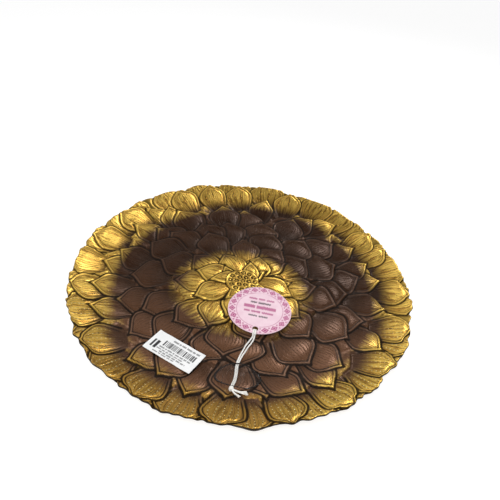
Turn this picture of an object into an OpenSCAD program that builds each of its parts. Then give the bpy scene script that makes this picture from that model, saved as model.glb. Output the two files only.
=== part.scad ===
// Round brass tray cast with tiers of overlapping lotus petals, with its price label and swing tag.
// Millimetres, +Z up. The origin is the centre of the base, where the tray stands.
// The tray's near side, where the tag's string is stuck down, faces -Y.

/* [Tray] */
// Diameter of the tray at its rim
tray_d = 300; // [270:1:340]
// Diameter of the flat floor
floor_d = 190; // [170:1:210]
// Height that the wall rises from the floor to the rim
wall_rise = 15; // [10:0.5:25]
// Thickness of the metal at the floor
floor_t = 2.4; // [2:0.1:4]
// Thickness of the metal at the rim
rim_t = 2; // [1.6:0.1:3]
// How far the rim's edge waves in and out
rim_wave = 1.5; // [0.2:0.1:3]

/* [Petals] */
// Height of a petal's tip over the tray's face
petal_lift = 2; // [1:0.1:3]
// Depth of a petal's base under the tray's face
petal_sink = 0.5; // [0.1:0.1:0.8]
// Crown of a petal's middle over its edges
petal_crown = 0.7; // [0:0.1:1.2]
// Length of a petal, from its tip to its hidden base
petal_l = 38; // [30:1:46]
// Distance from a petal's tip to its widest place
petal_shoulder = 18; // [12:1:24]

/* [Centre flower] */
// Diameter of the dome that carries the centre flower
dome_d = 120; // [90:1:150]
// Height of the dome
dome_h = 2.4; // [1.5:0.1:4]
// Diameter of the seed pod
pod_d = 29; // [28:1:44]
// Height of the seed pod over the dome
pod_h = 1.4; // [0.8:0.1:2]
// Diameter of a socket in the pod
socket_d = 4.6; // [3:0.1:5]
// Depth of a socket
socket_h = 1.1; // [0.6:0.1:1.6]
// Diameter of the seed in a socket
seed_d = 2.6; // [1.5:0.1:2.8]
// Height of a seed over the floor of its socket
seed_h = 0.9; // [0.5:0.1:1.2]

/* [Price label] */
// Length of the label
label_l = 44; // [30:1:55]
// Width of the label
label_w = 21.5; // [15:0.5:30]
// Thickness of the label
label_t = 0.3; // [0.15:0.05:0.5]
// Distance from the tray's axis to the label's middle
label_r = 98; // [85:1:110]
// Direction of the label from the tray's axis
label_a = 242; // [180:1:250]

/* [Swing tag] */
// Diameter of the tag
tag_d = 54; // [40:1:60]
// Thickness of the tag's card
tag_t = 0.6; // [0.4:0.05:1.2]
// Diameter of the punched hole
tag_hole_d = 5; // [4.5:0.1:6]
// Card left between the hole and the tag's edge
tag_margin = 2.5; // [2:0.1:4]
// Place of the tag's middle across the tray
tag_x = 17; // [5:1:25]
// Place of the tag's middle along the tray
tag_y = -35; // [-38:1:-30]
// Turn of the tag that points its hole away from -Y
tag_turn = -7; // [-20:1:20]

/* [String and seal] */
// Diameter of one strand of the string
string_d = 1.3; // [0.8:0.1:1.5]
// Diameter of the knot
knot_d = 3.4; // [3:0.1:5]
// Length of the oval seal across the tray
seal_l = 35; // [25:1:45]
// Width of the oval seal along the tray
seal_w = 23; // [20:1:26]
// Thickness of the seal's film
seal_t = 0.25; // [0.15:0.05:0.5]
// Place of the seal's middle across the tray
seal_x = 4; // [0:0.5:8]
// Place of the seal's middle along the tray
seal_y = -103.5; // [-106:0.5:-100]

/* [Clearances] */
// Gap between pieces that lie on one another
gap = 0.3; // [0.2:0.05:0.5]

/* [Hidden] */

tray_r = tray_d / 2;
floor_r = floor_d / 2;
dome_r = dome_d / 2;
pod_r = pod_d / 2;
tag_r = tag_d / 2;
string_r = string_d / 2;

// The petals are laid out for a rim of this radius, and the layout grows with the tray
layout_r = 150;
layout_k = tray_r / layout_r;

// Tiers from the centre outwards: half-width of its petals, then the direction and tip radius of each.
// A tier's tips lie over the bases of the next tier out. The rim cuts off the last tier's tips.
tiers = [
    [7.0, [[40, 28], [81, 31], [131, 28], [183, 31], [239, 29], [287, 29], [340, 28]]],
    [11.5, [[9, 46], [40, 54], [72, 43], [120, 44], [167, 46], [210, 48], [255, 46], [300, 47], [345, 48]]],
    [13.5, [[5, 70], [55, 66], [95, 67], [147, 60], [185, 62], [247, 62], [286, 71], [325, 64]]],
    [16.0, [[36, 75], [70, 84], [120, 82], [166, 83], [226, 77], [264, 86], [316, 83], [348, 88]]],
    [16.5, [[0, 98], [24, 99], [51, 96], [82, 100], [106, 98], [130, 100], [153, 99], [183, 102],
            [209, 94], [230, 100], [252, 97], [272, 94], [305, 103], [329, 107]]],
    [15.5, [[12, 113], [38, 114], [66, 118], [94, 116], [118, 117], [142, 114], [170, 120], [200, 112],
            [222, 113], [244, 124], [268, 125], [292, 107], [314, 120], [342, 113]]],
    [12.5, [[7, 130], [30, 127], [43, 133], [57, 128], [82, 135], [110, 131], [131, 134], [152, 131],
            [178, 129], [192, 133], [203, 134], [232, 129], [256, 131], [282, 124], [296, 125],
            [304, 132], [329, 135], [350, 129]]],
    [14.5, [[22, 144], [39, 148], [72, 148], [96, 147], [107, 148], [123, 141], [141, 139], [168, 149],
            [193, 147], [219, 140], [245, 147], [272, 142], [286, 143], [312, 146], [325, 147], [357, 146]]],
    [17.0, [[10, 157], [31, 156], [57, 157], [84, 156], [116, 157], [132, 156], [155, 157], [181, 158],
            [206, 157], [232, 156], [258, 157], [299, 156], [341, 158]]],
];

// Roundness of a petal's flanks, and the share and power by which they draw in to a point at the tip
flank_power = 2.2;
tip_pinch = 0.45;
pinch_power = 6;
// Share of a petal's width that is lost between its shoulder and its base
base_taper = 0.35;
// Distance from a petal's tip at which its crown is full
crown_run = 9;
// Depth of a petal's underside in the metal
petal_root = 1;
// Cross-sections of a petal, as shares of its length from the tip, and the points across each one
petal_stations = [0.08, 0.2, 0.37, 0.58, 1];
petal_columns = [-1, -0.45, 0.45, 1];

// The wall's curve: rise grows with this power of the way out from the floor
wall_power = 1.6;
// The wall is drawn this far past the rim, and the rim's outline cuts it
rim_over = rim_wave + 1;

// Waves round the rim
wave_counts = [13, 29];
wave_shares = [0.6, 0.4];

// Sockets stand in rings round the one in the pod's middle, with this much metal between them
socket_gap = 1;
// How far the petals' bases run into the pod
pod_lap = 0.5;
socket_step = socket_d + socket_gap;
socket_rings = floor((pod_r - socket_d / 2 - socket_gap) / socket_step);
// Width of a seed's top and height of its round shoulder, as shares of the whole seed
seed_top = 0.55;
seed_shoulder = 0.6;

// Facets round each round piece, and steps up the dome and the wall
dish_facets = 72;
// Turn of the dish that keeps its facets' edges off the rim's corners and the petals' middles
dish_turn = 0.7;
rim_facets = 144;
pod_facets = 48;
seed_facets = 8;
tag_facets = 96;
hole_facets = 32;
dome_steps = 4;
wall_steps = 5;

// Steps at which the face is probed under a flat piece
probe_step = 2.5;

// Middle line of the string, from the tag to the knot
string_route = [
    [13.4, -64.4, 5.5], [12.6, -66.6, 5.2], [11.2, -69.6, 5], [8.9, -74, 5], [7, -79, 5.2], [5.4, -83, 5.4],
    [3.8, -88, 5.6], [2.8, -92, 5.6], [2.5, -96, 5.3], [2.5, -100, 5.3], [2.3, -104, 5.8], [2, -107, 6.5],
    [1.4, -110, 7.2], [0.6, -113, 8.1], [0.2, -115.2, 8.8],
];
// Half the distance between the two strands at each of those points
strand_spread = [0.9, 1, 1.2, 1.3, 1.2, 1, 0.9, 0.85, 0.85, 0.85, 0.85, 0.85, 0.85, 0.85, 0.85];
// Routes of the two frayed ends, whose starts cross in the knot
end_routes = [
    [[-1.4, -117, 10.3], [0, -117.4, 10.2], [1.6, -117.8, 10], [4, -118.4, 9.3], [7, -119, 9],
     [10, -119.5, 9.2], [13, -120, 9.3]],
    [[-0.8, -116.4, 10.4], [0, -117.4, 10.2], [1, -118.6, 10], [2.8, -120.4, 9.7], [4.8, -122.2, 10.1],
     [7, -124, 10.8]],
];
// Thickness of an end at its first points, as shares of the knot's
knot_swell = [0.6, 1, 0.7];
string_sides = 8;

// How high the seal's film rises over the two strands
seal_tent = string_d + 2 * gap;
seal_rings = 5;
seal_facets = 32;

// A step that runs smoothly from 0 at a to 1 at b
function smooth(a, b, x) =
    let (u = max(0, min(1, (x - a) / (b - a))))
    u * u * (3 - 2 * u);

// Height of the face without its relief, at radius r
function wall(r) = floor_t + wall_rise * pow(max(0, (r - floor_r) / (tray_r - floor_r)), wall_power);

// Height of the dome under the centre flower
function dome(r) = r < dome_r ? dome_h * (1 + cos(180 * r / dome_r)) / 2 : 0;

// Height of the face between the petals, at radius r
function ground(r) = wall(r) + dome(r);

// Height of the tray's back at radius r: flat under the floor, then parallel to the wall
function back(r) = wall(r) - floor_t + (floor_t - rim_t) * smooth(floor_r, tray_r, r);

// Wave of the rim's edge in direction a, between -1 and 1
function wave(a) = wave_shares[0] * cos(wave_counts[0] * a) + wave_shares[1] * sin(wave_counts[1] * a);

// Outline of a petal: share of its half-width at share x of the way from its tip to its shoulder
function ogee(x) = (1 - pow(1 - x, flank_power)) * (1 - tip_pinch * pow(1 - x, pinch_power));

// Half-width of a petal, t in from its tip
function petal_half(t, half_w) =
    t < petal_shoulder
        ? half_w * ogee(t / petal_shoulder)
        : half_w * (1 - base_taper * (t - petal_shoulder) / (petal_l - petal_shoulder));

// Height of a petal over the ground, t in from its tip and share v of the way from its middle to its edge
function petal_height(t, v) =
    petal_lift - (petal_lift + petal_sink) * t / petal_l
    + petal_crown * (1 - v * v) * min(1, t / crown_run);

// The most that any petal stands over the ground
petal_top = max(petal_height(0, 0), petal_height(crown_run, 0));

// A point of a petal that points along +X, on its upper side or on its underside
function petal_point(tip_r, half_w, t, v, upper) =
    let (x = tip_r - t, y = v * petal_half(t, half_w))
    [x, y, ground(norm([x, y])) + (upper ? petal_height(t, v) : -petal_root)];

// A petal that points along +X: its tip, then its cross-sections, above and below
module petal(tip_r, half_w) {
    n = len(petal_columns);
    last = len(petal_stations) - 1;
    layer = 1 + n * len(petal_stations);
    points = [
        for (upper = [true, false])
            each concat(
                [petal_point(tip_r, half_w, 0, 0, upper)],
                [for (s = petal_stations, v = petal_columns) petal_point(tip_r, half_w, s * petal_l, v, upper)]
            )
    ];
    tip = [for (c = [0 : n - 2]) [0, 1 + c, 2 + c]];
    body = [
        for (k = [0 : last - 1], c = [0 : n - 2])
            let (a = 1 + k * n + c, b = a + n)
            each [[a, b, a + 1], [a + 1, b, b + 1]]
    ];
    rim = concat(
        [0],
        [for (k = [0 : last]) 1 + k * n],
        [for (c = [1 : n - 1]) 1 + last * n + c],
        [for (k = [last - 1 : -1 : 0]) k * n + n]
    );
    upper_faces = concat(tip, body);
    lower_faces = [for (f = upper_faces) [f[2] + layer, f[1] + layer, f[0] + layer]];
    sides = [
        for (i = [0 : len(rim) - 1])
            let (a = rim[i], b = rim[(i + 1) % len(rim)])
            each [[a, a + layer, b], [b, a + layer, b + layer]]
    ];
    polyhedron(points = points, faces = concat(upper_faces, lower_faces, sides));
}

// The turned shape under the petals: dome, floor and wall, and the plain back
module dish() {
    reach = tray_r + rim_over - floor_r;
    dome_radii = [for (i = [0 : dome_steps]) dome_r * i / dome_steps];
    wall_radii = [for (i = [0 : wall_steps]) floor_r + reach * i / wall_steps];
    rotate([0, 0, dish_turn])
        rotate_extrude($fn = dish_facets)
        polygon(concat(
            [for (r = concat(dome_radii, wall_radii)) [r, ground(r)]],
            [for (i = [wall_steps : -1 : 0]) [wall_radii[i], back(wall_radii[i])]],
            [[0, 0]]
        ));
}

// The rim's wavy outline
module rim_outline() {
    polygon([
        for (i = [0 : rim_facets - 1])
            let (a = 360 * i / rim_facets)
            (tray_r + rim_wave * wave(a)) * [cos(a), sin(a)]
    ]);
}

pod_top = floor_t + dome_h + pod_h;

// A seed stands on the floor of its socket, with a round shoulder
module seed() {
    hull() {
        cylinder(d = seed_d, h = 2 * seed_shoulder * seed_h, center = true, $fn = seed_facets);
        cylinder(d = seed_d * seed_top, h = 2 * seed_h, center = true, $fn = seed_facets);
    }
}

// Puts what is drawn in each socket's place, on its floor
module at_sockets() {
    for (ring = [0 : socket_rings], i = [0 : max(1, 6 * ring) - 1])
        rotate([0, 0, 60 * i / max(1, ring)])
            translate([ring * socket_step, 0, pod_top - socket_h])
            children();
}

module seed_pod() {
    difference() {
        translate([0, 0, floor_t / 2])
            cylinder(d = pod_d, h = pod_top - floor_t / 2, $fn = pod_facets);
        at_sockets()
            cylinder(d = socket_d, h = 2 * socket_h, $fn = seed_facets);
    }
    at_sockets()
        seed();
}

module tray_dish() {
    color("darkgoldenrod")
        intersection() {
            union() {
                difference() {
                    union() {
                        dish();
                        for (tier = tiers, place = tier[1])
                            rotate([0, 0, place[0]])
                                petal(place[1] * layout_k, tier[0] * layout_k);
                    }
                    // The petals' bases stop in the pod, short of its sockets
                    translate([0, 0, floor_t])
                        cylinder(d = pod_d - 2 * pod_lap, h = pod_top, $fn = pod_facets);
                }
                seed_pod();
            }
            linear_extrude(2 * (floor_t + wall_rise + petal_top))
                rim_outline();
        }
}

// Height over the ground of each petal that covers point p
function covers(p) = [
    for (tier = tiers, place = tier[1])
        let (
            t = place[1] * layout_k - p * [cos(place[0]), sin(place[0])],
            across = abs(p * [-sin(place[0]), cos(place[0])]),
            half = t > 0 && t < petal_l ? petal_half(t, tier[0] * layout_k) : 0
        )
        if (across < half) petal_height(t, across / half)
];

// Height of the face at p: the pod's top, and elsewhere the highest petal's
function face(p) = norm(p) < pod_r ? pod_top : ground(norm(p)) + max(concat([0], covers(p)));

// Triangles between two neighbouring rings, which start at point a and point b and have n points each
function strip(a, b, n) =
    [for (i = [0 : n - 1]) let (j = (i + 1) % n) each [[a + i, a + j, b + j], [a + i, b + j, b + i]]];

// The label lies along the wall: its long side follows the rim, and it tilts with the slope there
label_middle = label_r * [cos(label_a), sin(label_a)];
label_slope = atan((wall(label_r + label_w / 2) - wall(label_r - label_w / 2)) / label_w);

// Places where the face is probed under the label, as [along the rim, up the slope]
label_probes = [
    for (u = [-label_l / 2 : probe_step : label_l / 2], v = [-label_w / 2 : probe_step : label_w / 2]) [u, v]
];

// Height of the label's underside over the tray's base at the label's middle
label_z = gap + max([
    for (uv = label_probes)
        face(label_middle + uv.y * [cos(label_a), sin(label_a)] + uv.x * [-sin(label_a), cos(label_a)])
        - uv.y * tan(label_slope)
]);

module price_label() {
    color("white")
        translate([label_middle.x, label_middle.y, label_z])
        rotate([0, 0, label_a - 90])
        rotate([label_slope, 0, 0])
        translate([-label_l / 2, -label_w / 2, 0])
        cube([label_l, label_w, label_t]);
}

// The tag lies level on the pod and on the highest petals under it
tag_middle = [tag_x, tag_y];
tag_probes = [
    for (x = [-tag_r : probe_step : tag_r], y = [-tag_r : probe_step : tag_r])
        if (norm([x, y]) <= tag_r) tag_middle + [x, y]
];
tag_z = gap + max([for (p = tag_probes) face(p)]);
hole_y = tag_r - tag_margin - tag_hole_d / 2;

// Puts what is drawn round the tag's middle, with its hole towards -Y, in the tag's place
module at_tag() {
    translate([tag_x, tag_y, tag_z])
        rotate([0, 0, tag_turn])
        children();
}

module swing_tag() {
    color("lavenderblush")
        at_tag()
        difference() {
            cylinder(d = tag_d, h = tag_t, $fn = tag_facets);
            translate([0, -hole_y, -tag_t])
                cylinder(d = tag_hole_d, h = 3 * tag_t, $fn = hole_facets);
        }
}

// Direction of a route at point i
function heading(route, i) =
    let (d = route[min(i + 1, len(route) - 1)] - route[max(i - 1, 0)])
    d / norm(d);

// Level direction to the right of a heading
function rightward(d) = [d.y, -d.x, 0] / norm([d.x, d.y]);

// Ring of a tube of radius r round point c, square to heading d
function tube_ring(c, d, r) =
    let (side = rightward(d), up = cross(side, d))
    [for (i = [0 : string_sides - 1])
        let (a = 360 * i / string_sides)
        c + r * (cos(a) * side + sin(a) * up)];

// A tube along a route, with a radius for each of its points
module tube(route, radii) {
    rings = [for (i = [0 : len(route) - 1]) tube_ring(route[i], heading(route, i), radii[i])];
    n = string_sides;
    last = len(route) - 1;
    sides = [for (k = [0 : last - 1]) each strip(k * n, (k + 1) * n, n)];
    start = [for (i = [n - 1 : -1 : 0]) i];
    end = [for (i = [0 : n - 1]) last * n + i];
    polyhedron(points = [for (ring = rings) each ring], faces = concat([start], sides, [end]));
}

// The loop goes through the hole, over and under the margin, and past the tag's edge.
// Its middle line is a flat ring in an upright plane, with round ends.
loop_far = hole_y + tag_hole_d / 2 - gap - string_r;
loop_near = tag_r + gap + string_r;
loop_half_h = tag_t / 2 + gap + string_r;
loop_turns = 24;

// A point of the loop's middle line in direction a round the middle of the margin
function loop_point(a) =
    [0, -(loop_far + loop_near) / 2 + cos(a) * (loop_near - loop_far) / 2, tag_t / 2 + sin(a) * loop_half_h];

// Ring of the loop's tube at direction a, square to the loop
function loop_ring(a) =
    let (
        d = [0, -sin(a) * (loop_near - loop_far) / 2, cos(a) * loop_half_h],
        out = cross(d / norm(d), [1, 0, 0])
    )
    [for (i = [0 : string_sides - 1])
        let (b = 360 * i / string_sides)
        loop_point(a) + string_r * (cos(b) * [1, 0, 0] + sin(b) * out)];

module string_loop() {
    n = string_sides;
    rings = [for (k = [0 : loop_turns - 1]) loop_ring(360 * k / loop_turns)];
    color("ivory")
        at_tag()
        polyhedron(
            points = [for (ring = rings) each ring],
            faces = [for (k = [0 : loop_turns - 1]) each strip(k * n, ((k + 1) % loop_turns) * n, n)]
        );
}

// One of the two strands, beside the string's middle line
function strand_route(side) =
    [for (i = [0 : len(string_route) - 1])
        string_route[i] + side * strand_spread[i] * rightward(heading(string_route, i))];

module tag_string() {
    color("ivory")
        for (side = [-1, 1])
            tube(strand_route(side), [for (p = string_route) string_r]);
}

module string_knot() {
    color("ivory")
        union() {
            for (route = end_routes)
                tube(route, [
                    for (i = [0 : len(route) - 1])
                        i < len(knot_swell) ? knot_swell[i] * knot_d / 2 : string_r
                ]);
        }
}

// Height of the seal's film at p: over the petals, and tented over the string
function film(p) =
    ground(norm(p)) + petal_top + gap
    + seal_tent * (1 - pow(2 * (p.x - seal_x) / seal_l, 2));

// A ring of the film at share s of its size, on its upper side or on its underside
function film_ring(s, upper) =
    [for (i = [0 : seal_facets - 1])
        let (
            a = 360 * i / seal_facets,
            p = [seal_x + s * seal_l / 2 * cos(a), seal_y + s * seal_w / 2 * sin(a)]
        )
        [p.x, p.y, film(p) + (upper ? seal_t : 0)]];

module clear_seal() {
    n = seal_facets;
    middle = [seal_x, seal_y, film([seal_x, seal_y])];
    shares = [for (i = [1 : seal_rings]) i / seal_rings];
    last = 2 * seal_rings - 1;
    rings = concat(
        [for (s = shares) film_ring(s, true)],
        [for (i = [seal_rings - 1 : -1 : 0]) film_ring(shares[i], false)]
    );
    top = [for (i = [0 : n - 1]) [0, 2 + (i + 1) % n, 2 + i]];
    sides = [for (k = [0 : last - 1]) each strip(2 + k * n, 2 + (k + 1) * n, n)];
    bottom = [for (i = [0 : n - 1]) [1, 2 + last * n + i, 2 + last * n + (i + 1) % n]];
    color("gainsboro", 0.35)
        polyhedron(
            points = concat([middle + [0, 0, seal_t], middle], [for (ring = rings) each ring]),
            faces = concat(top, sides, bottom)
        );
}

tray_dish();
price_label();
swing_tag();
string_loop();
tag_string();
string_knot();
clear_seal();
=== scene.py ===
import math

import bpy
import numpy as np
from mathutils import Matrix, Vector


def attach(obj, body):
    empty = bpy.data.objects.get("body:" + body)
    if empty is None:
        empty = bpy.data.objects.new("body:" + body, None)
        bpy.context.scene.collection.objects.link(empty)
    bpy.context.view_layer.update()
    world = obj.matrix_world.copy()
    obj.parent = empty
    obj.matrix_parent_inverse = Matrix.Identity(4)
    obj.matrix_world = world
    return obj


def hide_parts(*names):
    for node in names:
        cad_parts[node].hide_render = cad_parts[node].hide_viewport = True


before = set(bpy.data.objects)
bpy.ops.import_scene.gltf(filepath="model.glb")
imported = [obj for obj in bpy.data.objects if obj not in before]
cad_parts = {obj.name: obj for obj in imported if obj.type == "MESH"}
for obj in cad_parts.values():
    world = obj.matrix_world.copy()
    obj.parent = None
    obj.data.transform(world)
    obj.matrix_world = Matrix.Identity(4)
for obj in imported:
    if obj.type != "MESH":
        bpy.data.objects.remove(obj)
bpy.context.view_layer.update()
scene = bpy.context.scene

# Lengths are in millimetres up to the point where a mesh is made
MM = 0.001

# Tray
TRAY_R = 150.0
FLOOR_R = 95.0
WALL_RISE = 15.0
WALL_POWER = 1.6
FLOOR_T = 2.4
RIM_T = 2.0

# Waves of the rim, and the radius where they begin
RIM_WAVE = 1.5
WAVE_FROM = 128.0
WAVE_COUNTS = (13, 29)
WAVE_SHARES = (0.6, 0.4)

# Ruffles of the rim: notches where dark lines run out over it, and small teeth between them.
# They begin at a radius and deepen from the first y of RUFFLE_SIDE to the second
RUFFLE_FROM = 142.0
RUFFLE_SIDE = (160.0, -60.0)
RUFFLE_DEPTH = 2.0
RUFFLE_EVEN = 0.25
RUFFLE_TEETH = 0.2
RIM_ROLL = 0.6
NOTCH_AT = 147.5
NOTCH_DEPTH = 3.8
TOOTH_DEPTH = 0.8
TOOTH_COUNT = 97
TOOTH_DRIFT = 2.0
DRIFT_COUNT = 7

# Centre flower: a low dome, and on it a pod with rings of sockets that each hold a seed
DOME_R = 60.0
DOME_H = 2.4
POD_R = 14.5
POD_TOP = 6.2
POD_SOFT = 0.6
POD_INSET = 1.0
POD_LINE = 0.4
POD_LINE_W = 0.9
SOCKET_R = 2.3
SOCKET_H = 1.1
SOCKET_SOFT = (0.35, 0.5)
SOCKET_STEP = 5.6
SOCKET_RINGS = 2
RING_SEEDS = 6
SEED_R = 1.3
SEED_H = 0.9
SEED_SOFT = 0.5

# Outline of a petal, from its pointed tip to its base under the next tier
PETAL_L = 38.0
PETAL_BELLY = 17.0
PETAL_SPREAD = 1.1
PETAL_VARY = 0.06
PETAL_SEED = 21
BASE_END = 44.0
BASE_TAPER = 0.5
TIP_SHARP = 0.1
TIP_FULL = 0.82
TIP_SWAY = 6.0
SWAY_RUN = 20.0
SWAY_LIMIT = 1.2
HALF_LEAST = 0.5
SLOPE_STEP = 0.25

# Relief of a petal: a pillow with low edges
PETAL_LIFT = 0.9
PETAL_FALL = 1.3
PETAL_CROWN = 1.75
CROWN_POWER = 2.2
CROWN_RISE = 13.0
CROWN_FALL = (37.0, 17.0)
# Between these radii the crown gets flatter, the whole relief stronger and the face lower
RIM_ZONE = (112.0, 142.0)
RIM_FLAT = 0.6
RIM_CROWN = 0.6
RIM_SINK = 1.2

# Bead along a petal's edge, the dark line outside it and the thinner one inside it
BEAD_AT = 0.9
BEAD_W = 0.8
BEAD_H = 0.6
OUTER_AT = -0.45
OUTER_W = 0.85
OUTER_H = 0.7
OUTER_FADE = 5.0
INNER_AT = 2.3
INNER_W = 0.6
INNER_H = 0.45
INNER_FADE = 8.0
INNER_INK = 0.85
# How far beyond the tip the outer line may reach, and the inset where there is no petal
LINE_REACH = 4.0
OPEN_INSET = 6.0

# Plain tiers underneath
UNDER_FIRST = 42.0
UNDER_LAST = 138.0
UNDER_STEP = 13.0
UNDER_WIDE = 27.0
UNDER_TURN = 7.0
UNDER_LINE = 0.3

# Grid on which the petals are laid over each other, and how far its fields are softened
GRID_STEP = 0.5
GRID_REACH = 158.0
WINDOW_SPARE = 9.0
SOFT_STEP = 0.55
SOFT_LINE = 0.3
SOFT_EXIT = 1.3

# Tiers from the centre outwards: half-width of the petals, then direction and tip radius of each,
# and how far it leans from its radius, in degrees, where it does
TIERS = [
    (7.0, [(40, 28), (81, 31), (131, 28), (183, 31), (239, 29), (287, 29), (340, 28)]),
    (11.5, [(9, 46), (40, 54), (72, 43), (120, 44), (167, 46), (210, 48), (255, 46), (300, 47), (345, 48)]),
    (13.5, [(5, 70), (55, 66), (95, 67), (147, 60), (185, 62), (247, 62), (286, 71), (325, 64)]),
    (16.0, [(36, 75), (70, 84), (120, 82), (166, 83), (226, 77), (264, 86), (316, 83), (348, 88)]),
    (16.5, [(0, 98), (24, 99), (51, 96), (82, 100), (104, 96), (121, 99), (141, 102), (155, 105),
            (183, 102), (209, 94, 6), (230, 100), (252, 97), (272, 94), (305, 103, 5), (329, 107, -4)]),
    (15.5, [(12, 113), (38, 114), (66, 118), (94, 116), (105, 122), (129, 125), (145, 114), (168, 122),
            (200, 112), (222, 113), (244, 124, -14), (268, 125), (292, 107, 6), (314, 120, 16),
            (342, 113, 13)]),
    (12.5, [(7, 130), (19, 127), (30, 127), (46, 135, -28), (57, 128, -22), (82, 135), (131, 134),
            (152, 131), (178, 129), (192, 133), (203, 134, -10), (232, 129, -20), (256, 131, -9),
            (282, 124, 10), (296, 125, 24), (304, 132, 6), (329, 135, -20), (350, 129)]),
    (14.5, [(22, 152, 8), (33, 153), (72, 153, 8), (96, 152, 10), (109, 153, 10), (123, 153, 10),
            (141, 141), (152, 153, 12), (168, 153, 10), (193, 152, 8), (219, 152, -20), (245, 155),
            (266, 155, -8), (286, 155, 12), (305, 155, 14), (325, 154, 25), (342, 154, 12),
            (357, 153, -8)]),
    (17.0, [(10, 161), (46, 160), (57, 161), (84, 160, 8), (116, 161, 10), (132, 160, 10),
            (155, 161, 10), (181, 162, 8), (206, 159), (232, 160), (256, 161), (276, 161), (296, 161),
            (315, 161), (333, 161)]),
    (17.0, [(20, 162), (40, 161), (65, 163), (100, 162), (145, 161), (168, 163), (193, 162), (219, 161),
            (245, 162), (272, 161), (286, 163), (312, 162), (326, 164), (356, 161)]),
]

# Mesh of the tray: how far out each stretch of the face goes and the points on each of its rings,
# the rings of the edge as shares of its height, and radius and points of those underneath
FIRST_RING = 0.8
FACE_STEP = 0.94
RIM_POINTS = 980
FACE_ZONES = [(9.0, 60), (18.0, 118), (32.0, 212), (50.0, 330), (70.0, 464), (90.0, 594), (110.0, 724),
              (130.0, 854), (TRAY_R, RIM_POINTS)]
EDGE_SHARES = (0.12, 0.5, 0.9)
EDGE_SWELL = 0.4
BACK_RINGS = [(149.0, 490), (144.0, 420), (134.0, 210), (122.0, 210), (108.0, 105), (95.0, 105), (50.0, 48)]

# Finish of the casting, in linear colour, with the colours of its painted light and shade
GOLD_DEEP = (0.46, 0.24, 0.043)
GOLD_BRIGHT = (0.97, 0.64, 0.13)
BROWN_DEEP = (0.042, 0.016, 0.006)
BROWN_LIT = (0.168, 0.079, 0.041)
BROWN_WEAR_AND_HIGHLIGHT = (0.21, 0.118, 0.074)
PATINA_AND_SHADE = (0.009, 0.005, 0.003)
DOT_GLINT_GOLD = (1.0, 0.86, 0.42)
# The rim's gold begins between these radii, and by a spread further in towards -X, but not at -Y
RIM_GOLD = (113.0, 135.0)
GOLD_SPREAD = 6.0
SPREAD_X = (50.0, -70.0)
SPREAD_Y = (-90.0, -30.0)
# The middle's gold ends between these, and sooner towards +Y
HEART_GOLD = (38.0, 66.0)
HEART_SHRINK = 17.0
HEART_Y = (-20.0, 50.0)
# The gold's limits shift along each petal, and from petal to petal
TIP_GOLD = 4.0
TIP_GOLD_FALL = 0.35
TONE_GOLD = 3.0
# Painted light: the brown is lighter towards -Y, across these y; the same near-side share widens the dark
# lines there as painted shade
PAINTED_LIGHT_Y = (20.0, -110.0)
# Painted shade: the gold is darker towards -Y and -X, and by a share towards +Y
GOLD_SHADE_Y = (-50.0, -130.0)
GOLD_SHADE_X = (80.0, 10.0)
FAR_SHADE_Y = (60.0, 120.0)
FAR_SHADE = 0.3
# Veins and rows of punched dots, and how far inside a petal's edge they begin
VEINS = 13
VEIN_INSET = (2.2, 3.8)
DOT_STEP = 3.0
DOT_INSET = (2.6, 3.4)
# What the material is told on the rim's edge and underneath; the edge's dark line and gold shade are
# painted shade
OFF_FACE = {
    "gold": (0.6, 0.9),
    "line": (0.7, 0.1),
    "inset": (OPEN_INSET, OPEN_INSET),
    "vein_v": (0.0, 0.0),
    "vein_t": (0.0, 0.0),
    "tone": (0.0, 0.0),
    "near_side": (0.5, 0.5),
    "gold_shade": (0.5, 0.0),
}

# Price label: it ripples a little and lifts at its short ends
LABEL_L = 44.0
LABEL_W = 21.5
LABEL_T = 0.3
LABEL_CORNER = 0.4
LABEL_GRID = 0.3
LABEL_R = 98.0
LABEL_A = 242.0
LABEL_Z = 5.617
LABEL_SLOPE = 4.34
RIPPLE_H = 0.14
RIPPLE_X = 0.42
RIPPLE_Y = 0.33
RIPPLE_SHIFT = 0.5
END_LIFT = 0.2
END_POWER = 6
PAPER_SHADE = (0.90, 0.91, 0.91)
PAPER_LIGHT = (0.96, 0.96, 0.96)
PAPER_ROUGH = 0.55

# Print on label and tag: soft edges of its bars, strokes in a word and the gap after it
INK_SOFT = 0.2
STROKE_STEP = 1.0
WORD_GAP = 0.8
GREY_INK = (0.018, 0.018, 0.020)
PINK_INK = (0.44, 0.045, 0.20)

# The label's bar code, its lines by middle, height and ends, and two upright stubs beside them
PRINT_SEED = 5
LABEL_STROKES = 0.3
WORD_SPAN = (1.6, 5.0)
CODE_SPAN = (-11.0, 18.0)
CODE_ROWS = (-0.8, 5.0)
CODE_BARS = (0.45, 0.7, 1.2)
CODE_GAPS = (0.35, 0.6, 0.9)
LABEL_LINES = [(7.6, 1.6, -6.0, 18.5), (-2.6, 1.3, -12.0, 17.0), (-4.8, 1.1, -13.0, 11.0),
               (-6.8, 1.3, -9.0, 15.0), (-8.7, 1.0, -14.0, 6.0)]
LABEL_STUBS = [(-18.2, 1.6), (-15.0, 2.4)]
STUB_ROWS = (-6.5, 1.5)

# Swing tag, a little warped
TAG_R = 27.0
TAG_T = 0.6
TAG_Z = 6.619
TAG_AT = (17.0, -35.0)
TAG_TURN = -7.0
TAG_SIDES = 240
TAG_RINGS = 56
HOLE_R = 2.5
HOLE_Y = 22.0
WARP_H = 0.18
WARP_X = 0.11
WARP_Y = (-12.0, 24.0)
WARP_SHIFT = 0.4
CARD_SHADE = (0.875, 0.62, 0.71)
CARD_LIGHT = (0.915, 0.68, 0.76)
CARD_ROUGH = 0.5

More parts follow.
